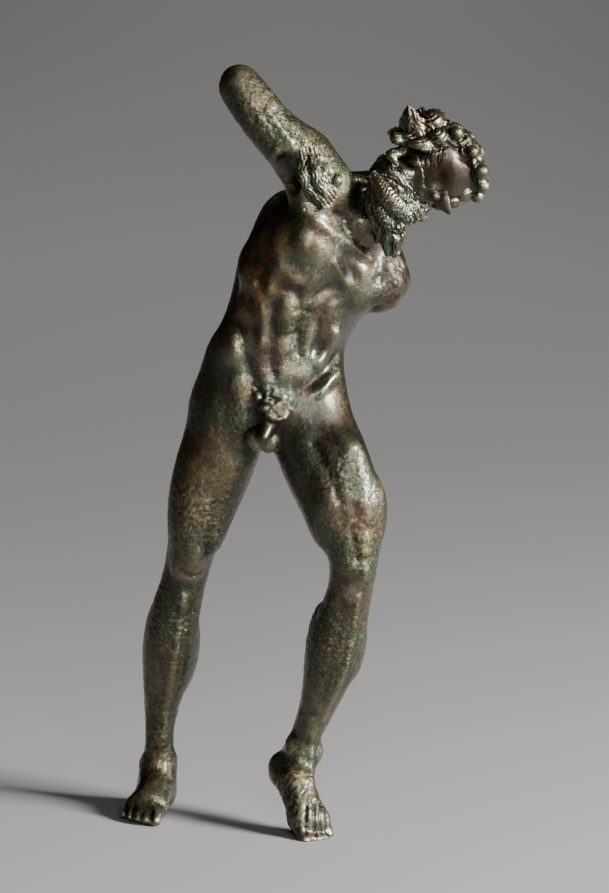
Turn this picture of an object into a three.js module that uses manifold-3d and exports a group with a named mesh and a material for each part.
// Bronze statuette of a bearded satyr, cast in one piece: nude, the right arm thrown up and broken at the
// elbow, the left arm lost at the shoulder, the head tipped over the left shoulder, up on the left toes.
// Millimetres, +Z up, the front of the figure towards -Y, its left side towards +X.
import * as THREE from "three";
import { edgeTable, triTable } from "three/addons/objects/MarchingCubes.js";
import { mergeVertices } from "three/addons/utils/BufferGeometryUtils.js";
import Module from "manifold-3d";

// Driving dimensions
const headHeight = 28;
const skullHalf = [9.8, 11.4, 10.6];
const wreathRadius = 1.5;
const berryRadius = 1.7;
const footLength = 31;
const toeHeight = 7;

// Centres of the trunk and the head, and the middle of the whole figure as seen from above
const pelvisCentre = [-10.3, 0, 118.5];
const waistCentre = [-8.2, -2, 134];
const chestCentre = [-0.3, -2.3, 152.6];
const headCentre = [28.6, -5, 180.8];
const centreInPlan = [0.06, 4.19];

// How finely the skin is worked out, and how its facets are shared between the head, the feet and the rest
const cellSize = 0.75;
const triangleTarget = 9300;
const headShareOfDetail = 9;
const footShareOfDetail = 6;
const groundDepth = 6;

// Small vector sums
const add = (a, b) => a.map((v, i) => v + b[i]);
const sub = (a, b) => a.map((v, i) => v - b[i]);
const times = (a, k) => a.map((v) => v * k);
const dot = (a, b) => a[0] * b[0] + a[1] * b[1] + a[2] * b[2];
const cross = (a, b) => [a[1] * b[2] - a[2] * b[1], a[2] * b[0] - a[0] * b[2], a[0] * b[1] - a[1] * b[0]];
const length = (a) => Math.sqrt(dot(a, a));
const unit = (a) => times(a, 1 / length(a));
const mix = (a, b, t) => add(times(a, 1 - t), times(b, t));

// A frame of the body: its own left, front and up, set in the world by where it points.
function bodyFrame(origin, upward, facing) {
  const up = unit(upward);
  const front = unit(sub(facing, times(up, dot(facing, up))));
  const left = cross(up, front);
  return {
    axes: [left, front, up],
    at: (l, f, u) => add(origin, add(times(left, l), add(times(front, f), times(up, u)))),
  };
}

function facingAt(degrees) {
  const turn = THREE.MathUtils.degToRad(degrees);
  return [Math.sin(turn), -Math.cos(turn), 0];
}

const pelvis = bodyFrame(pelvisCentre, [0.08, 0, 1], facingAt(8));
const waist = bodyFrame(waistCentre, [0.3, 0.04, 0.95], facingAt(22));
const chest = bodyFrame(chestCentre, [0.437, 0.05, 0.899], facingAt(38));
const head = bodyFrame(headCentre, [0.71, 0.03, 0.7], [-0.55, -0.62, 0.56]);
const worldAxes = [[1, 0, 0], [0, 1, 0], [0, 0, 1]];

// The forms are swollen into each other in the order given here, as wax is built up before casting.
const forms = [];

function keep(form, blend, isCut) {
  const parts = form.parts || [form];
  forms.push({ parts, distance: form.distance, blend, isCut });
}

// A rounded taper between two points, flattened along one direction where a flatness is given.
function taper(a, ra, b, rb, flat = 1, flatAxis = [0, 1, 0]) {
  const run = sub(b, a);
  const runLength = dot(run, run) || 1;
  const squeeze = 1 / flat - 1;
  const reach = Math.sqrt(runLength) / 2 + Math.max(ra, rb) * Math.max(1, flat);
  return {
    centre: mix(a, b, 0.5),
    reach,
    distance(x, y, z) {
      let px = x - a[0];
      let py = y - a[1];
      let pz = z - a[2];
      const t = Math.min(1, Math.max(0, (px * run[0] + py * run[1] + pz * run[2]) / runLength));
      px -= run[0] * t;
      py -= run[1] * t;
      pz -= run[2] * t;
      if (squeeze !== 0) {
        const side = (px * flatAxis[0] + py * flatAxis[1] + pz * flatAxis[2]) * squeeze;
        px += flatAxis[0] * side;
        py += flatAxis[1] * side;
        pz += flatAxis[2] * side;
      }
      return Math.sqrt(px * px + py * py + pz * pz) - (ra + (rb - ra) * t);
    },
  };
}

// An egg with three half-lengths along the axes of a body frame.
function egg(centre, half, axes = worldAxes) {
  return {
    centre,
    reach: Math.max(...half),
    distance(x, y, z) {
      const px = x - centre[0];
      const py = y - centre[1];
      const pz = z - centre[2];
      let near = 0;
      let steep = 0;
      for (let i = 0; i < 3; i++) {
        const q = (px * axes[i][0] + py * axes[i][1] + pz * axes[i][2]) / half[i];
        near += q * q;
        steep += (q * q) / (half[i] * half[i]);
      }
      const k = Math.sqrt(near);
      return k < 1e-6 ? -Math.min(...half) : (k * (k - 1)) / Math.sqrt(steep);
    },
  };
}

const swell = (form, blend) => keep(form, blend, false);
const hollow = (form, blend) => keep(form, blend, true);

// A limb swept along a smooth curve through stations, each a point and a radius.
function limb(stations, flat = 1) {
  const centres = new THREE.CatmullRomCurve3(stations.map(([x, y, z]) => new THREE.Vector3(x, y, z)));
  const radii = new THREE.CatmullRomCurve3(stations.map((station) => new THREE.Vector3(station[3], 0, 0)));
  const steps = stations.length * 3;
  const pieces = [];
  for (let i = 0; i < steps; i++) {
    const [a, b] = [i / steps, (i + 1) / steps];
    const ends = [a, b].map((t) => centres.getPoint(t).toArray());
    const sizes = [a, b].map((t) => radii.getPoint(t).x);
    pieces.push(taper(ends[0], sizes[0], ends[1], sizes[1], flat));
  }
  return {
    parts: pieces,
    distance(x, y, z) {
      let least = 1e3;
      for (const piece of pieces) {
        if (Math.abs(z - piece.centre[2]) - piece.reach < least) {
          least = Math.min(least, piece.distance(x, y, z));
        }
      }
      return least;
    },
  };
}

// A lock of hair: a curve from root to tip through a bend, thick at the root and thin at the tip.
function lock(root, bend, tip, rootRadius, tipRadius, blend) {
  const curve = new THREE.QuadraticBezierCurve3(
    new THREE.Vector3(...root),
    new THREE.Vector3(...bend),
    new THREE.Vector3(...tip),
  );
  const pieces = 4;
  for (let i = 0; i < pieces; i++) {
    const a = curve.getPoint(i / pieces).toArray();
    const b = curve.getPoint((i + 1) / pieces).toArray();
    const ra = rootRadius + ((tipRadius - rootRadius) * i) / pieces;
    const rb = rootRadius + ((tipRadius - rootRadius) * (i + 1)) / pieces;
    swell(taper(a, ra, b, rb), i === 0 ? blend : Math.min(blend, 0.6));
  }
}

function torso() {
  swell(egg(pelvis.at(0, 0, 0), [19, 12, 13], pelvis.axes), 0);
  swell(egg(waist.at(0, 0, 0), [15.5, 10.5, 17], waist.axes), 6);
  swell(egg(chest.at(0, 0, -0.5), [18.8, 12.6, 22.6], chest.axes), 6);
  swell(egg(pelvis.at(0.5, 5.5, 4), [12, 7, 10], pelvis.axes), 5);
  // Seat
  swell(egg(pelvis.at(-8.6, -6.5, -3.5), [9.6, 9.4, 11], pelvis.axes), 4);
  swell(egg(pelvis.at(8.6, -6.5, -3.5), [9.6, 9.4, 11], pelvis.axes), 4);
  hollow(taper(pelvis.at(0, -15.5, 4), 1.2, pelvis.at(0, -14, -13), 2.2), 3);
  // Fullness over the hip bones
  swell(egg([-20.6, -1.5, 126.5], [7.4, 8.5, 10.5]), 4);
  swell(egg([3.4, -1.5, 122], [6.6, 8.5, 11]), 4);
  // Broad muscles of the back, from the armpits to the waist
  swell(taper([-1.6, -1.5, 167], 5.6, [-12, -0.5, 153], 7.4), 4);
  swell(taper([-12, -0.5, 153], 7.4, [-16, 0, 139], 6.4), 4);
  swell(taper(chest.at(13, -4, 8), 8, waist.at(12, -3, 2), 6), 6);
  // Shoulder blades and the two columns beside the spine
  swell(egg(chest.at(-10, -10.3, 7), [7, 3.4, 9], chest.axes), 4);
  swell(egg(chest.at(10, -10.3, 5), [7, 3.4, 9], chest.axes), 4);
  for (const side of [-1, 1]) {
    swell(taper(pelvis.at(side * 4, -8.5, 9), 3.6, chest.at(side * 4.4, -9.5, 2), 3.8), 4);
  }
  hollow(taper(pelvis.at(0, -13, 9), 1, waist.at(0, -12.6, 4), 1), 3);
  hollow(taper(waist.at(0, -12.6, 4), 1, chest.at(0, -14.4, 14), 1), 3);
}

function chestAndBelly() {
  // Breast muscles; the right one is drawn up into the raised arm
  swell(egg(chest.at(-8.6, 8.6, 4.5), [9, 5.4, 7.6], chest.axes), 3);
  swell(egg(chest.at(8.4, 8.6, 3), [8.4, 5.2, 7.2], chest.axes), 3);
  swell(taper(chest.at(-10.5, 8, 6), 5, [-1, -13.5, 173.5], 6), 4);
  swell(egg(chest.at(-9, 13.2, -0.4), [1.1, 0.7, 1.1], chest.axes), 0.8);
  swell(egg(chest.at(8.6, 12.9, -1), [1.1, 0.7, 1.1], chest.axes), 0.8);
  hollow(taper(chest.at(0, 14.8, 9), 1.1, chest.at(0, 14.6, -3), 1.4), 3);
  // Collar bones
  swell(taper(chest.at(-1.5, 10, 15.5), 1.7, [2, -13, 176], 1.6), 2.5);
  swell(taper(chest.at(1.5, 10, 15.5), 1.7, chest.at(15, 4, 13), 1.6), 2.5);
  // The arch of the ribs over the hollow of the belly
  for (const side of [-1, 1]) {
    swell(taper(chest.at(side * 2.5, 10.4, -6.6), 1.6, chest.at(side * 8.2, 8.2, -12.4), 1.9), 4);
    swell(taper(chest.at(side * 8.2, 8.2, -12.4), 1.9, chest.at(side * 12, 4, -16.4), 1.8), 4);
  }
  // Belly muscles in three rows of two, above and beside the navel
  const rowHeights = [10.5, 4.6, -1.6];
  rowHeights.forEach((height) => {
    for (const side of [-1, 1]) {
      swell(egg(waist.at(side * 3.6, 9.2, height), [3.5, 2.6, 3.1], waist.axes), 1.6);
    }
  });
  hollow(taper(waist.at(0, 12.6, 13), 0.7, waist.at(0, 12.4, -3), 0.8), 1.8);
  hollow(egg(waist.at(0.4, 11.6, -5.4), [1.1, 1.6, 1.3], waist.axes), 1.2);
  swell(egg(pelvis.at(1.5, 8.6, 5), [7.6, 3.6, 7], pelvis.axes), 3);
  // Flank muscles over the hip bones, and the groin lines below them
  swell(egg(waist.at(-12.2, 2.5, -5), [4.4, 6.5, 6.6], waist.axes), 3);
  swell(egg(waist.at(12, 2.2, -6.5), [4.4, 6.5, 6.2], waist.axes), 3);
  hollow(taper([-23, -11.6, 119.5], 0.8, [-15, -14.2, 110], 0.9), 2.2);
  hollow(taper([8.5, -9.5, 122.5], 0.9, [-3, -15, 111.5], 1), 2.4);
  // Saw-toothed muscle under the right arm
  for (let i = 0; i < 4; i++) {
    swell(egg(chest.at(-15.5 + 0.5 * i, 4.2 + 0.8 * i, 3 - 4.2 * i), [1.8, 2.8, 1.8], chest.axes), 2.8);
  }
}

function neckAndShoulders() {
  swell(taper([7, -2, 167], 8.8, [23, -1.5, 176.2], 7.2), 5);
  swell(taper([1.5, 0, 171.5], 6, [17, 1.5, 174.5], 5.6), 5);
  swell(taper([8, 6, 160], 7.5, [15, 2, 171], 5.6), 5);
  swell(taper(chest.at(-2, 10, 16), 1.6, head.at(8, -3, -6), 1.8), 2);
  // Raised right arm, ending in a worn stump just past the elbow
  swell(limb([
    [1, -10.5, 176.2, 8.4],
    [-6.9, -11.5, 185, 7.4],
    [-13.7, -11.3, 191, 6.4],
    [-18.8, -10.5, 197, 6.3],
    [-21.8, -10, 200.6, 5.8],
  ]), 4);
  swell(egg([-3, -9, 182.6], [6, 6, 7]), 4);
  swell(egg([-22.4, -10.6, 202.9], [3.4, 3.6, 3.4]), 2);
  hollow(egg([-8.3, -18.4, 178.8], [3.6, 3.2, 5.6]), 2.4);
  swell(egg([5.4, -15.6, 178.2], [1.4, 1.4, 1.4]), 0.8);
  // Left arm broken off at the shoulder, with a torn lip below
  swell(taper([6, 3.5, 157.6], 10.2, [15.8, 5, 152.6], 9.6), 5);
  swell(taper(chest.at(9, 8.5, 1), 5, [17, -1, 148.4], 5.4), 4);
  swell(taper([15, -2, 141.8], 1.7, [22.2, 1, 144.6], 1.3), 2);
  hollow(taper(chest.at(13.2, 13.5, 10), 0.9, chest.at(16.2, 10.5, -4), 1), 2.6);
  const dents = 7;
  for (let i = 0; i < dents; i++) {
    const turn = i * 2.4;
    const spread = 1.6 + 0.8 * i;
    const spot = [26.6 - 0.22 * i, 7 + spread * Math.cos(turn), 152.5 + spread * Math.sin(turn)];
    hollow(egg(spot, [2, 2.4 + 0.3 * (i % 3), 2.2]), 1.4);
  }
  // Tuft of hair in the right armpit
  for (let i = 0; i < 6; i++) {
    const across = -4.6 + 1.2 * i;
    const sway = i % 2 ? 0.5 : -0.3;
    const root = [across, -18.2, 183 - 0.5 * i];
    const tip = [across + 0.9, -17.6, 172.6 + 0.4 * i];
    lock(root, [across + sway, -20.2, 178.5], tip, 1.1, 0.8, 1);
  }
}

function legs() {
  // Right leg: straight and planted, a little behind
  const rightHip = [-20.4, 0.5, 113, 11];
  const rightKnee = [-28.6, 4.6, 76.5, 6.8];
  const rightCalf = [-33.3, 11.6, 48, 7.3];
  const rightAnkle = [-35.3, 18.4, 21, 3.8];
  swell(limb([
    rightHip,
    [-23.2, 1.5, 98.5, 10.1],
    [-26.4, 3, 87, 8.9],
    rightKnee,
    [-30.2, 6.2, 67.5, 6.1],
    [-32.4, 9, 57, 6.6],
    rightCalf,
    [-34.1, 14, 39.5, 6.7],
    [-35.1, 16.4, 30, 4.8],
    rightAnkle,
    [-35.1, 19.6, 12.5, 4.1],
  ], 1.06), 4);
  // Left leg: bent, the knee forward, up on its toes
  const leftHip = [0.8, -1.5, 112, 11.5];
  const leftKnee = [14.4, -11.8, 79, 6.9];
  const leftCalf = [10.9, -3, 52, 7.4];
  const leftAnkle = [4.4, 4.4, 25.5, 4.1];
  swell(limb([
    leftHip,
    [5.6, -4.5, 102, 11.8],
    [9.9, -8, 93, 11],
    [12.8, -10.6, 85.5, 8.9],
    leftKnee,
    [14.4, -9.8, 70, 6.1],
    [12.4, -6, 60, 6.8],
    leftCalf,
    [9.4, 0, 43.5, 6.6],
    [7, 2.4, 33.5, 4.9],
    leftAnkle,
    [3.8, 4.8, 21, 4.3],
  ], 1.06), 4);
  // Right thigh, kneecap, calf, shin, heel tendon and ankle bones
  swell(egg([-29.4, -1.5, 88], [5, 5.5, 16]), 5);
  swell(egg([-23.2, 0, 83], [3.2, 4.4, 7.5]), 3);
  swell(egg([-29.8, -0.6, 70.4], [3.6, 2.3, 4]), 2.4);
  swell(egg([-30.6, 1.8, 62.6], [2, 1.8, 3.4]), 2.4);
  swell(egg([-36.1, 15, 49.5], [4.2, 5, 11]), 3);
  swell(egg([-29.8, 16, 47], [4.2, 5, 11]), 3);
  swell(taper([-32.6, 5.4, 60], 1.6, [-35.4, 14.8, 20], 1.2), 2.4);
  swell(taper([-35.2, 20.6, 34], 2.2, [-34.4, 25, 8], 1.9), 2.2);
  swell(egg([-38.8, 20.4, 12.6], [1.5, 2, 2.1]), 1.4);
  swell(egg([-31.8, 19.2, 14.6], [1.4, 2, 2.2]), 1.4);
  // The same on the left
  swell(egg([18.2, -12.6, 90.5], [4.4, 5, 8.5]), 4);
  swell(egg([6.6, -13.6, 88.5], [4, 4.4, 7.6]), 4);
  swell(egg([11.8, -14.6, 96], [6, 4.6, 14]), 5);
  swell(egg([14.4, -16.6, 77.8], [3.8, 2.4, 4.1]), 2.2);
  swell(egg([14, -14.4, 69.8], [2.1, 1.8, 3.6]), 2.4);
  swell(egg([15.4, -0.6, 54.5], [3.8, 5, 11]), 3);
  swell(egg([7.4, 1.2, 53], [3.8, 5, 11]), 3);
  swell(taper([13, -10.8, 64], 1.6, [5.6, 0.6, 27], 1.3), 2.4);
  swell(taper([6.2, 6.2, 36], 2.1, [0.2, 11.4, 20], 1.9), 2.2);
  swell(egg([7.8, 4.4, 21.4], [1.5, 2, 2.3]), 1.4);
  swell(egg([0.4, 2.8, 23.4], [1.5, 2, 2.3]), 1.4);
}

// A foot from heel to toes, with five toes side by side. The frame's front runs from heel to toe tip.
function foot(frame, heelHalf, toeSide, curl) {
  const bigToeReach = footLength / 2 + 1.1;
  swell(egg(frame.at(0, heelHalf[1] - 0.55 * footLength, 4), heelHalf, frame.axes), 3);
  swell(taper(frame.at(0, -9, 5), 4.2, frame.at(0, 5, 3.6), 3.8, 1.2, frame.axes[0]), 3);
  const instep = [frame.at(toeSide * 1, -4, 8.5), frame.at(toeSide * 1.6, 6, 4.6)];
  swell(taper(instep[0], 3.8, instep[1], 3.2, 1.15, frame.axes[0]), 3);
  swell(egg(frame.at(0, 6, 2.9), [6, 5, 3.2], frame.axes), 2.4);
  // The arch, hollow on the inner side of the sole
  hollow(egg(frame.at(toeSide * 4, -3.6, 0), [4.4, 5.2, 2], frame.axes), 2);
  const toeCount = 5;
  for (let i = 0; i < toeCount; i++) {
    const across = toeSide * (4.4 - (i === 0 ? 0 : 0.5 + 2.2 * i));
    const reach = bigToeReach - 0.3 * i * i;
    const radius = i === 0 ? 1.75 : 1.25 - 0.04 * i;
    const knuckle = frame.at(across * 0.96, reach - 4.4, 2.7 - 0.1 * i);
    const tip = frame.at(across, reach - radius, 1.3 + curl);
    swell(taper(frame.at(across * 0.9, reach - 9.5, 3), radius, knuckle, radius + 0.1), 0.6);
    swell(taper(knuckle, radius + 0.1, tip, radius), 0.3);
  }
}

function feet() {
  const rightFoot = bodyFrame([-37, 12.6, 0], [0.02, 0, 1], [-0.16, -1, 0]);
  foot(rightFoot, [4.4, 5.2, 4.6], 1, 0.2);
  const leftFoot = bodyFrame([3.2, 1, 5.4], [0.3, -0.66, 1], [0.62, -1, -0.6]);
  foot(leftFoot, [4.2, 5, 4.4], -1, 0.5);
  swell(taper([-35.1, 19.6, 12.5], 4.1, [-35.2, 18.6, 5], 4.5), 3);
  swell(taper([3.8, 4.8, 21], 4.2, [2.4, 5, 14.5], 4.2), 3);
}

function groin() {
  for (let row = 0; row < 3; row++) {
    for (let i = 0; i < 5 - row; i++) {
      const across = (i - (4 - row) / 2) * 3.1;
      const sink = 0.045 * across * across;
      const spot = pelvis.at(1 + across, 12 - sink + 0.5 * row, 2 - 2.9 * row);
      swell(egg(spot, [1.9, 1.6, 1.6], pelvis.axes), 0.7);
    }
  }
  swell(taper(pelvis.at(-0.6, 12.4, -6), 2.1, pelvis.at(-2, 15, -9.6), 1.6), 1.2);
  swell(egg(pelvis.at(-3.6, 10.8, -11), [2.5, 2.6, 3.4], pelvis.axes), 1);
  swell(egg(pelvis.at(0.4, 10.4, -11.4), [2.4, 2.6, 3.4], pelvis.axes), 1);
}

function headForm() {
  const a = head.axes;
  swell(egg(head.at(0, -1.6, 3.4), skullHalf, a), 3);
  swell(egg(head.at(0, 3.6, -4.4), [7.8, 7.6, headHeight * 0.36], a), 3);
  for (const side of [-1, 1]) {
    swell(egg(head.at(side * 4.9, 7.8, -3.4), [2.6, 2.4, 2.3], a), 1.6);
    hollow(egg(head.at(side * 3.9, 11.6, 0.1), [2.6, 1.9, 1.7], a), 1.2);
    swell(egg(head.at(side * 3.8, 9, -0.2), [2, 1.5, 1.2], a), 0.5);
    swell(taper(head.at(side * 0.9, 11.4, 2.2), 1.2, head.at(side * 6, 9.2, 2.1), 1.1), 1);
    swell(egg(head.at(side * 1.6, 12, -4.4), [1, 1.2, 0.9], a), 0.6);
    // Pointed ear, standing out to the side and back
    swell(taper(head.at(side * 9.6, -1.2, -2), 2.2, head.at(side * 14.4, -4.2, -3.2), 0.6, 0.55, a[1]), 1);
    hollow(egg(head.at(side * 11.8, -0.6, -2.3), [1.9, 1, 0.8], a), 0.5);
  }
  swell(taper(head.at(0, 11.2, 1.6), 1.1, head.at(0, 13.6, -3.8), 1.5), 0.9);
  // Moustache, lower lip
  for (const side of [-1, 1]) {
    lock(head.at(side * 0.8, 11.8, -6.2), head.at(side * 4, 11.4, -6.4), head.at(side * 6, 7.4, -10),
      1.5, 0.9, 0.8);
  }
  swell(taper(head.at(-1.5, 10.9, -8.9), 0.8, head.at(1.5, 10.9, -8.9), 0.8), 0.4);
  hollow(taper(head.at(-1.8, 12, -7.9), 0.35, head.at(1.8, 12, -7.9), 0.35), 0.3);
}

function beard() {
  // Jaw locks run from the ears to the chin; below them the long locks fall on the chest
  for (let i = 0; i < 4; i++) {
    const back = 1 + 2.4 * i;
    for (const side of [-1, 1]) {
      const out = 8.2 - 0.9 * i;
      lock(head.at(side * out, back, -6.4 - 0.9 * i), head.at(side * (out + 1), back + 2, -10.5 - 0.8 * i),
        head.at(side * (out - 2.6), back + 3.4, -14.2 - 0.8 * i), 2, 1, 1);
    }
  }
  swell(limb([
    [...head.at(0, 6, -8.5), 5],
    [18.8, -13.4, 171, 4.6],
    [20.4, -14.2, 165, 4],
    [20.8, -13.6, 159.5, 2.6],
  ], 0.8), 1.6);
  const lockCount = 7;
  for (let i = 0; i < lockCount; i++) {
    const across = i / (lockCount - 1) - 0.5;
    const forward = 3.6 - 10 * across * across;
    const root = add(head.at(0, 7, -9.5), [10 * across, -forward, 0.5]);
    const bend = [19.2 + 11 * across, -14.2 - forward, 168.5];
    const rise = 20 * across * across + (i % 2 ? 1.6 : 0);
    const tip = [20.9 + 7.5 * across, -13.6 - 0.8 * forward, 158.6 + rise];
    lock(root, bend, tip, 2.2, 1.3, 0.9);
    swell(egg(add(tip, [i % 2 ? 0.7 : -0.7, -0.4, 0.6]), [1.4, 1.2, 1.4]), 0.5);
  }
}

function hairAndWreath() {
  // Short locks over the skull in rings from the crown to the nape
  const ringCount = 3;
  for (let ring = 0; ring < ringCount; ring++) {
    const tilt = 0.35 + 0.52 * ring;
    const count = 5 + 4 * ring;
    for (let i = 0; i < count; i++) {
      const turn = ((i + 0.5 * (ring % 2)) / count) * 2 * Math.PI;
      const isFace = Math.cos(turn) > 0.35 && tilt > 1;
      if (isFace) {
        continue;
      }
      const onSkull = (t, lift, twist) => head.at(
        (skullHalf[0] + lift) * Math.sin(t) * Math.sin(turn + twist),
        (skullHalf[1] + lift) * Math.sin(t) * Math.cos(turn + twist) - 1.6,
        (skullHalf[2] + lift) * Math.cos(t) + 3.4,
      );
      lock(onSkull(tilt - 0.16, 0, 0), onSkull(tilt + 0.14, 1.2, 0.12), onSkull(tilt + 0.42, 0.2, 0.36),
        1.9, 1.1, 0.7);
    }
  }
  // Wreath with berries, worn low on the nape and high over the brow
  const around = 26;
  const wreathPoint = (turn, lift) => head.at(
    (skullHalf[0] + lift) * Math.sin(turn),
    (skullHalf[1] + lift) * Math.cos(turn) - 2,
    5.2 + 3.4 * Math.cos(turn),
  );
  for (let i = 0; i < around; i++) {
    const turn = (i / around) * 2 * Math.PI;
    const next = ((i + 1) / around) * 2 * Math.PI;
    swell(taper(wreathPoint(turn, 0.2), wreathRadius, wreathPoint(next, 0.2), wreathRadius), 0.7);
  }
  const berryCount = 10;
  for (let i = 0; i < berryCount; i++) {
    const turn = ((i + 0.5) / berryCount) * 2 * Math.PI;
    swell(egg(wreathPoint(turn, 1.9), [berryRadius, berryRadius, berryRadius]), 0.5);
  }
  // Tufts that stand up over the forehead
  const tuftTurns = [-0.62, -0.22, 0.2, 0.6];
  tuftTurns.forEach((turn, i) => {
    const side = Math.sin(turn);
    const tall = i % 2 ? 2.6 : 1.4;
    const tip = head.at(9 * side, 11.8 + tall, 9 + tall);
    lock(head.at(9 * side, 8.4, 5), head.at(10.6 * side, 12.6, 5.8), tip, 2.4, 0.9, 0.8);
    const curl = head.at(13.4 * side, 12.6, 5.4);
    lock(head.at(10.5 * side, 8.6, 4), head.at(12 * side, 12.4, 3.4), curl, 1.9, 1.3, 0.6);
  });
}

torso();
chestAndBelly();
neckAndShoulders();
legs();
feet();
groin();
headForm();
beard();
hairAndWreath();

// Distance to the figure's skin, from the forms that can reach a block of space.
function skinDistance(near, x, y, z) {
  let d = 1e3;
  for (const form of near) {
    const other = form.distance(x, y, z);
    const k = Math.max(form.blend, 1e-3);
    if (form.isCut) {
      const h = Math.max(k - Math.abs(d + other), 0) / k;
      d = Math.max(d, -other) + (h * h * k) / 4;
    } else {
      const h = Math.max(k - Math.abs(d - other), 0) / k;
      d = Math.min(d, other) - (h * h * k) / 4;
    }
  }
  return d;
}

// The skin as triangles, by marching cubes over the blocks of cells that the forms reach.
function skinTriangles() {
  const low = [Infinity, Infinity, Infinity];
  const high = [-Infinity, -Infinity, -Infinity];
  forms.filter(({ isCut }) => !isCut).forEach(({ parts }) => parts.forEach(({ centre, reach }) => {
    for (let i = 0; i < 3; i++) {
      low[i] = Math.min(low[i], centre[i] - reach);
      high[i] = Math.max(high[i], centre[i] + reach);
    }
  }));
  const margin = 3 * cellSize;
  const origin = low.map((v) => v - margin);
  const blockCells = 8;
  const blocks = high.map((v, i) => Math.ceil((v + margin - origin[i]) / (cellSize * blockCells)));
  const size = blocks.map((count) => count * blockCells + 1);
  const values = new Float32Array(size[0] * size[1] * size[2]).fill(10);
  const indexOf = (i, j, k) => i + size[0] * (j + size[1] * k);
  const blockHalf = (blockCells * cellSize) / 2;
  const eachBlock = (visit) => {
    for (let bk = 0; bk < blocks[2]; bk++) {
      for (let bj = 0; bj < blocks[1]; bj++) {
        for (let bi = 0; bi < blocks[0]; bi++) {
          visit(bi, bj, bk);
        }
      }
    }
  };
  eachBlock((bi, bj, bk) => {
    const middle = [bi, bj, bk].map((b, i) => origin[i] + (2 * b + 1) * blockHalf);
    const near = forms.filter(({ parts, blend }) => parts.some(({ centre, reach }) =>
      centre.every((c, i) => Math.abs(c - middle[i]) < reach + blockHalf + blend + 2)));
    if (!near.some((form) => !form.isCut)) {
      return;
    }
    for (let k = 0; k <= blockCells; k++) {
      for (let j = 0; j <= blockCells; j++) {
        for (let i = 0; i <= blockCells; i++) {
          const place = [bi * blockCells + i, bj * blockCells + j, bk * blockCells + k];
          const [x, y, z] = place.map((c, axis) => origin[axis] + c * cellSize);
          values[indexOf(...place)] = skinDistance(near, x, y, z);
        }
      }
    }
  });
  const corners = [[0, 0, 0], [1, 0, 0], [1, 1, 0], [0, 1, 0], [0, 0, 1], [1, 0, 1], [1, 1, 1], [0, 1, 1]];
  const edges = [
    [0, 1], [1, 2], [2, 3], [3, 0],
    [4, 5], [5, 6], [6, 7], [7, 4],
    [0, 4], [1, 5], [2, 6], [3, 7],
  ];
  const points = [];
  const triangles = [];
  const known = new Map();
  const vertexOn = (i, j, k, edge) => {
    const [a, b] = edges[edge].map((c) => [i + corners[c][0], j + corners[c][1], k + corners[c][2]]);
    const ia = indexOf(...a);
    const ib = indexOf(...b);
    const gap = Math.abs(ia - ib);
    const direction = [1, size[0]].indexOf(gap) + 1;
    const key = Math.min(ia, ib) * 4 + direction;
    if (!known.has(key)) {
      const share = values[ia] / (values[ia] - values[ib]);
      const t = Math.min(0.96, Math.max(0.04, share));
      known.set(key, points.length);
      points.push(a.map((c, axis) => origin[axis] + (c + (b[axis] - c) * t) * cellSize));
    }
    return known.get(key);
  };
  for (let k = 0; k < size[2] - 1; k++) {
    for (let j = 0; j < size[1] - 1; j++) {
      for (let i = 0; i < size[0] - 1; i++) {
        let inside = 0;
        for (let c = 0; c < 8; c++) {
          const [di, dj, dk] = corners[c];
          if (values[indexOf(i + di, j + dj, k + dk)] < 0) {
            inside |= 1 << c;
          }
        }
        if (edgeTable[inside] === 0) {
          continue;
        }
        for (let t = inside * 16; triTable[t] !== -1; t += 3) {
          const sides = [triTable[t], triTable[t + 2], triTable[t + 1]];
          triangles.push(sides.map((edge) => vertexOn(i, j, k, edge)));
        }
      }
    }
  }
  return { points, triangles };
}

// Only the largest connected body, in case a form floats free.
function mainBody({ points, triangles }) {
  const parent = points.map((_, i) => i);
  const root = (i) => {
    let r = i;
    while (parent[r] !== r) {
      parent[r] = parent[parent[r]];
      r = parent[r];
    }
    return r;
  };
  triangles.forEach(([a, b, c]) => {
    parent[root(a)] = root(b);
    parent[root(b)] = root(c);
  });
  const counts = new Map();
  triangles.forEach(([a]) => counts.set(root(a), (counts.get(root(a)) || 0) + 1));
  const [largest] = [...counts].sort((p, q) => q[1] - p[1])[0];
  return { points, triangles: triangles.filter(([a]) => root(a) === largest) };
}

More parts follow.
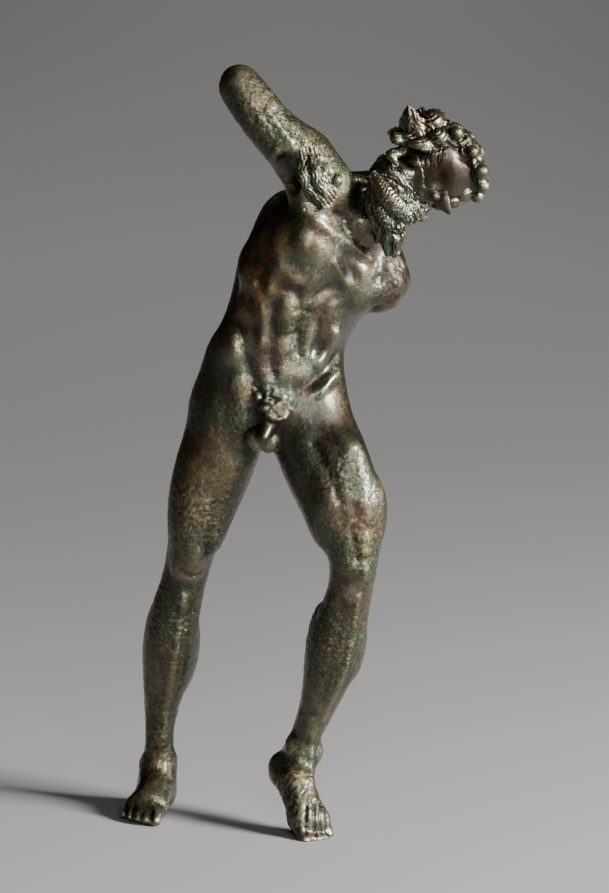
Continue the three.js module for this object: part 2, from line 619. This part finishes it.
// Fewer, larger facets: the edge whose loss moves the skin least is closed up first, again and again.
// Every closing keeps the surface one closed skin, and never turns a facet over.
function fewerFacets({ points, triangles }, target) {
  const faces = triangles.map((t) => [...t]);
  const alive = new Uint8Array(faces.length).fill(1);
  const around = points.map(() => new Set());
  faces.forEach((face, f) => face.forEach((v) => around[v].add(f)));
  const normalOf = (a, b, c) => cross(sub(b, a), sub(c, a));
  const quadrics = points.map(() => new Float64Array(10));
  const detail = (p) => {
    if (length(sub(p, headCentre)) < headHeight * 0.9) {
      return headShareOfDetail;
    }
    return p[2] < toeHeight ? footShareOfDetail : 1;
  };
  faces.forEach((face) => {
    const [a, b, c] = face.map((v) => points[v]);
    const n = normalOf(a, b, c);
    const doubleArea = length(n) || 1e-12;
    const [nx, ny, nz] = times(n, 1 / doubleArea);
    const w = -(nx * a[0] + ny * a[1] + nz * a[2]);
    const weight = doubleArea * detail(a);
    const plane = [nx * nx, nx * ny, nx * nz, nx * w, ny * ny, ny * nz, ny * w, nz * nz, nz * w, w * w];
    face.forEach((v) => plane.forEach((value, i) => {
      quadrics[v][i] += value * weight;
    }));
  });
  const costAt = (q, [x, y, z]) => q[0] * x * x + 2 * q[1] * x * y + 2 * q[2] * x * z + 2 * q[3] * x
    + q[4] * y * y + 2 * q[5] * y * z + 2 * q[6] * y + q[7] * z * z + 2 * q[8] * z + q[9];
  const version = new Uint32Array(points.length);
  const edgeSpread = 2e-3;
  const heap = [];
  const siftUp = (entry) => {
    let i = heap.push(entry) - 1;
    while (i > 0) {
      const up = (i - 1) >> 1;
      if (heap[up].cost <= heap[i].cost) {
        break;
      }
      [heap[up], heap[i]] = [heap[i], heap[up]];
      i = up;
    }
  };
  const takeLeast = () => {
    const least = heap[0];
    const last = heap.pop();
    if (heap.length > 0) {
      heap[0] = last;
      let i = 0;
      for (;;) {
        const l = 2 * i + 1;
        const r = l + 1;
        let small = i;
        if (l < heap.length && heap[l].cost < heap[small].cost) {
          small = l;
        }
        if (r < heap.length && heap[r].cost < heap[small].cost) {
          small = r;
        }
        if (small === i) {
          break;
        }
        [heap[small], heap[i]] = [heap[i], heap[small]];
        i = small;
      }
    }
    return least;
  };
  const solve = (q, fallback) => {
    const rows = [[q[0], q[1], q[2]], [q[1], q[4], q[5]], [q[2], q[5], q[7]]];
    const crosses = [cross(rows[1], rows[2]), cross(rows[2], rows[0]), cross(rows[0], rows[1])];
    const determinant = dot(rows[0], crosses[0]);
    const scale = q[0] + q[4] + q[7];
    if (Math.abs(determinant) < 1e-4 * scale * scale * scale) {
      return fallback;
    }
    const pull = [-q[3], -q[6], -q[8]];
    const sum = crosses.reduce((total, c, row) => add(total, times(c, pull[row])), [0, 0, 0]);
    return times(sum, 1 / determinant);
  };
  const offer = (u, v) => {
    const q = quadrics[u].map((value, i) => value + quadrics[v][i]);
    const halfway = mix(points[u], points[v], 0.5);
    let place = solve(q, halfway);
    const span = length(sub(points[u], points[v]));
    if (length(sub(place, halfway)) > span) {
      place = halfway;
    }
    const cost = costAt(q, place) + edgeSpread * span * span * span * span;
    siftUp({ cost, u, v, place, stampU: version[u], stampV: version[v] });
  };
  const neighboursOf = (v) => {
    const found = new Set();
    around[v].forEach((f) => faces[f].forEach((w) => found.add(w)));
    found.delete(v);
    return found;
  };
  faces.forEach(([a, b, c]) => [[a, b], [b, c], [c, a]].forEach(([u, v]) => {
    if (u < v) {
      offer(u, v);
    }
  }));
  let count = faces.length;
  const turnsOver = (moved, other, place) => [...around[moved]].some((f) => {
    const face = faces[f];
    if (face.includes(other)) {
      return false;
    }
    const before = face.map((w) => points[w]);
    const after = face.map((w) => (w === moved ? place : points[w]));
    const n0 = normalOf(...before);
    const n1 = normalOf(...after);
    return dot(n0, n1) < 0.25 * length(n0) * length(n1) || length(n1) < 1e-4;
  });
  while (count > target && heap.length > 0) {
    const { u, v, place, stampU, stampV } = takeLeast();
    if (version[u] !== stampU || version[v] !== stampV || !around[u].size || !around[v].size) {
      continue;
    }
    const nearU = neighboursOf(u);
    const shared = [...neighboursOf(v)].filter((w) => nearU.has(w));
    if (shared.length !== 2 || turnsOver(u, v, place) || turnsOver(v, u, place)) {
      continue;
    }
    if (shared.some((w) => around[w].size <= 3)) {
      continue;
    }
    points[u] = place;
    quadrics[v].forEach((value, i) => {
      quadrics[u][i] += value;
    });
    [...around[v]].forEach((f) => {
      if (faces[f].includes(u)) {
        alive[f] = 0;
        faces[f].forEach((w) => around[w].delete(f));
        count -= 1;
      } else {
        faces[f] = faces[f].map((w) => (w === v ? u : w));
        around[u].add(f);
      }
    });
    around[v].clear();
    version[u] += 1;
    version[v] += 1;
    neighboursOf(u).forEach((w) => offer(u, w));
  }
  return { points, triangles: faces.filter((_, f) => alive[f]) };
}

// Cut flat under the feet, so that the figure stands on them.
async function cutFlat({ points, triangles }) {
  const wasm = await Module();
  wasm.setup();
  const used = new Map();
  const vertices = [];
  const corners = triangles.flat().map((v) => {
    if (!used.has(v)) {
      used.set(v, used.size);
      vertices.push(points[v][0], points[v][1], points[v][2]);
    }
    return used.get(v);
  });
  const figure = new wasm.Manifold(new wasm.Mesh({
    numProp: 3,
    vertProperties: new Float32Array(vertices),
    triVerts: new Uint32Array(corners),
  }));
  const ground = new THREE.BoxGeometry(300, 300, groundDepth).translate(0, 0, -groundDepth / 2);
  ground.deleteAttribute("normal");
  ground.deleteAttribute("uv");
  const merged = mergeVertices(ground);
  const groundSolid = new wasm.Manifold(new wasm.Mesh({
    numProp: 3,
    vertProperties: new Float32Array(merged.attributes.position.array),
    triVerts: new Uint32Array(merged.index.array),
  }));
  const cut = figure.subtract(groundSolid).getMesh();
  const geometry = new THREE.BufferGeometry();
  geometry.setAttribute("position", new THREE.BufferAttribute(new Float32Array(cut.vertProperties), 3));
  geometry.setIndex(new THREE.BufferAttribute(new Uint32Array(cut.triVerts), 1));
  geometry.computeVertexNormals();
  return geometry;
}

const bronze = new THREE.MeshStandardMaterial({ color: 0x4a4330, roughness: 0.42, metalness: 0.85 });
const skin = fewerFacets(mainBody(skinTriangles()), triangleTarget);
const satyrFigure = new THREE.Mesh(await cutFlat(skin), bronze);
satyrFigure.name = "satyr_figure";
satyrFigure.position.set(-centreInPlan[0], -centreInPlan[1], 0);

const statuette = new THREE.Group();
statuette.add(satyrFigure);

export default statuette;
